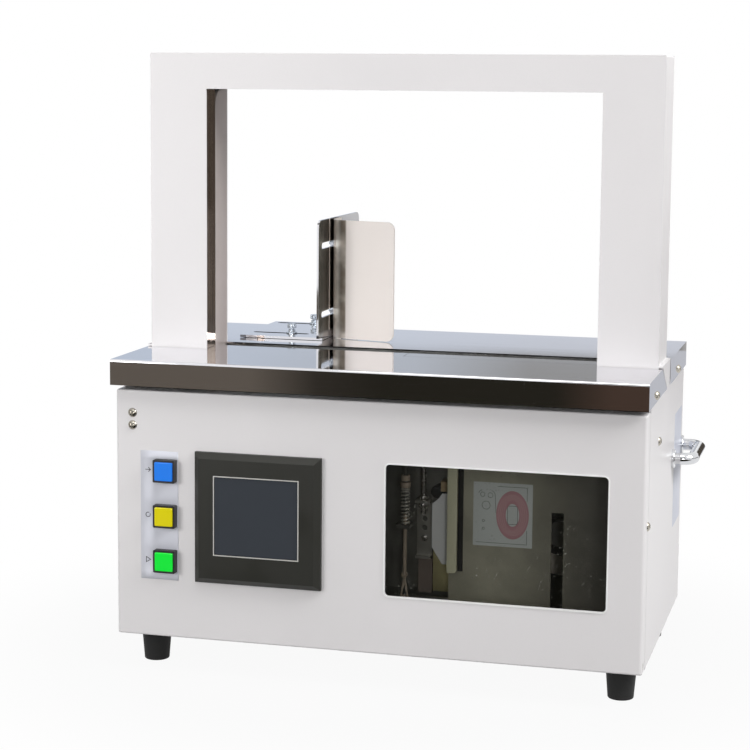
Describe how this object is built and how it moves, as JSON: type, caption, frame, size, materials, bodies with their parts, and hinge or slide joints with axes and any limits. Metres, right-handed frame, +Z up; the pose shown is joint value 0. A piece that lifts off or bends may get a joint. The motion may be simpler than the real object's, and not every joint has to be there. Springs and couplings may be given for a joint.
{
  "type": "banknote strapping machine",
  "caption": "Table-top banding machine: a polished table with an arch for the paper tape, a side guide with a back stop, a touch panel, push buttons and a windowed front cover.",
  "frame": {"origin": "on the surface the machine stands on, under the middle of its overall box", "axes": "+X to the machine's right seen from the front, +Y to its back, +Z up; the front cover faces -Y"},
  "size_m": [0.4854, 0.2894, 0.514],
  "materials": {
    "white_paint": "light warm grey-white powder coat, satin",
    "zinc_sheet": "zinc-plated sheet, dull with a yellow-green cast",
    "cream_strip": "yellow passivated strip, satin",
    "mirror_steel": "mirror-polished stainless sheet",
    "liner_steel": "polished stainless strip",
    "track_plastic": "beige-grey plastic strip, satin",
    "chrome": "bright chrome",
    "bright_screws": "bright zinc screws",
    "rubber": "black moulded rubber",
    "smoked_pane": "smoked clear plastic pane",
    "hmi_plastic": "charcoal moulded bezel, fine grain",
    "hmi_glass": "dark blue-grey touch panel, switched off",
    "black_plastic": "black moulded plastic",
    "cap_blue": "blue moulded cap",
    "cap_yellow": "yellow moulded cap",
    "cap_green": "green moulded cap",
    "magnet": "ferrite magnet in black plastic",
    "frame_steel": "machined steel",
    "reel_plastic": "dark grey moulded hub",
    "tape_paper": "wound kraft paper tape",
    "rod_copper": "copper-coloured rod",
    "spring_steel": "round spring wire",
    "motor_black": "black motor casing",
    "roller_rubber": "brown polyurethane tyre",
    "cage_steel": "folded aluminium cage",
    "board_green": "green circuit board"
  },
  "bodies": {
    "frame": {"left_side_panel": "white_paint", "right_side_panel": "white_paint", "rear_panel": "white_paint", "arch_shell": "white_paint", "arch_rear_cover": "white_paint", "base_tray": "zinc_sheet", "reel_guard": "zinc_sheet", "adjuster_bracket": "zinc_sheet", "cover_hinges": "zinc_sheet", "guard_strip": "cream_strip", "front_table": "mirror_steel", "rear_table": "mirror_steel", "slot_strip": "mirror_steel", "arch_liner": "liner_steel", "track_strips": "track_plastic", "side_handles": "chrome", "case_screws": "bright_screws", "adjuster_stud": "bright_screws", "rubber_feet": "rubber", "power_inlet": "black_plastic", "magnet_catch": "magnet", "main_plate": "frame_steel", "head_side_plates": "frame_steel", "head_front_plate": "frame_steel", "plate_posts": "frame_steel", "reel_shaft": "frame_steel", "shaft_bearings": "frame_steel", "tension_spring": "spring_steel", "feed_motor": "motor_black", "main_motor": "motor_black", "power_supply": "cage_steel", "control_board": "board_green"},
    "front_cover": {"front_cover": "white_paint", "window_pane": "smoked_pane", "hmi_case": "hmi_plastic", "hmi_screen": "hmi_glass", "button_housings": "black_plastic", "catch_bracket": "zinc_sheet", "cover_screws": "bright_screws"},
    "button_blue": {"button_blue": "cap_blue"},
    "button_yellow": {"button_yellow": "cap_yellow"},
    "button_green": {"button_green": "cap_green"},
    "side_guide": {"side_guide": "mirror_steel"},
    "back_stop": {"back_stop": "mirror_steel", "back_stop_screws": "bright_screws"},
    "guide_screw_front": {"guide_screw_front": "bright_screws"},
    "guide_screw_rear": {"guide_screw_rear": "bright_screws"},
    "reel": {"reel_hub": "reel_plastic", "tape_roll": "tape_paper"},
    "feed_roller": {"feed_roller": "roller_rubber"},
    "pinch_arm": {"pinch_arm": "frame_steel"},
    "pinch_roller": {"pinch_roller": "roller_rubber"},
    "camshaft": {"camshaft": "frame_steel", "lifting_cams": "frame_steel"},
    "tape_clamps": {"tape_clamps": "frame_steel"},
    "heater_head": {"heater_head": "frame_steel", "cutter_blade": "frame_steel"},
    "brake_lever": {"brake_lever": "frame_steel"},
    "pull_rod": {"pull_rod": "rod_copper"},
    "power_switch": {"power_switch": "black_plastic"}
  },
  "joints": [
    {"name": "front_cover_hinge", "type": "hinge", "parent": "frame", "child": "front_cover", "pos_m": [0, -0.1295, 0.036], "axis": [1, 0, 0], "range_deg": [0, 85]},
    {"name": "button_blue_press", "type": "slide", "parent": "front_cover", "child": "button_blue", "axis": [0, 1, 0], "range_m": [0, 0.003], "stiffness_N_per_m": 500, "springref_m": -0.003},
    {"name": "button_yellow_press", "type": "slide", "parent": "front_cover", "child": "button_yellow", "axis": [0, 1, 0], "range_m": [0, 0.003], "stiffness_N_per_m": 500, "springref_m": -0.003},
    {"name": "button_green_press", "type": "slide", "parent": "front_cover", "child": "button_green", "axis": [0, 1, 0], "range_m": [0, 0.003], "stiffness_N_per_m": 500, "springref_m": -0.003},
    {"name": "side_guide_slide", "type": "slide", "parent": "frame", "child": "side_guide", "axis": [1, 0, 0], "range_m": [-0.013, 0.033]},
    {"name": "back_stop_slide", "type": "slide", "parent": "side_guide", "child": "back_stop", "axis": [0, 1, 0], "range_m": [-0.046, 0.022]},
    {"name": "guide_screw_front_turn", "type": "hinge", "parent": "frame", "child": "guide_screw_front", "pos_m": [-0.124, 0.0461, 0.263], "axis": [0, 0, 1], "range_deg": [-180, 180]},
    {"name": "guide_screw_rear_turn", "type": "hinge", "parent": "frame", "child": "guide_screw_rear", "pos_m": [-0.124, 0.1191, 0.263], "axis": [0, 0, 1], "range_deg": [-180, 180]},
    {"name": "reel_spin", "type": "hinge", "parent": "frame", "child": "reel", "pos_m": [0.138, -0.02, 0.118], "axis": [0, 1, 0], "continuous": true},
    {"name": "feed_roller_spin", "type": "hinge", "parent": "frame", "child": "feed_roller", "pos_m": [0.084, -0.02, 0.22], "axis": [0, 1, 0], "continuous": true},
    {"name": "pinch_arm_lift", "type": "hinge", "parent": "frame", "child": "pinch_arm", "pos_m": [0.112, -0.035, 0.238], "axis": [0, 1, 0], "range_deg": [0, 12], "stiffness_Nm_per_rad": 0.2, "springref_deg": -20.05},
    {"name": "pinch_roller_spin", "type": "hinge", "parent": "pinch_arm", "child": "pinch_roller", "pos_m": [0.06611, -0.02, 0.23789], "axis": [0, 1, 0], "continuous": true},
    {"name": "camshaft_turn", "type": "hinge", "parent": "frame", "child": "camshaft", "pos_m": [0, -0.0275, 0.156], "axis": [1, 0, 0], "range_deg": [0, 120]},
    {"name": "tape_clamps_lift", "type": "slide", "parent": "frame", "child": "tape_clamps", "axis": [0, 0, 1], "range_m": [0, 0.006]},
    {"name": "heater_head_lift", "type": "slide", "parent": "frame", "child": "heater_head", "axis": [0, 0, 1], "range_m": [0, 0.006]},
    {"name": "brake_lever_turn", "type": "hinge", "parent": "frame", "child": "brake_lever", "pos_m": [0.061, -0.03, 0.058], "axis": [0, 1, 0], "range_deg": [-8, 0], "stiffness_Nm_per_rad": 0.5, "springref_deg": 20.05},
    {"name": "pull_rod_slide", "type": "slide", "parent": "frame", "child": "pull_rod", "axis": [0, 0, 1], "range_m": [-0.00696, 0], "deforming": ["tension_spring"]},
    {"name": "power_switch_rock", "type": "hinge", "parent": "frame", "child": "power_switch", "pos_m": [-0.156, 0.1174, 0.121], "axis": [1, 0, 0], "range_deg": [-16, 0]}
  ],
  "couplings": [
    {"joint": "pinch_roller_spin", "follows": "feed_roller_spin", "ratio": -1.5},
    {"joint": "tape_clamps_lift", "follows": "camshaft_turn", "m_per_rad": 0.0028648},
    {"joint": "heater_head_lift", "follows": "camshaft_turn", "m_per_rad": 0.0028648},
    {"joint": "pull_rod_slide", "follows": "brake_lever_turn", "m_per_rad": 0.049838}
  ]
}
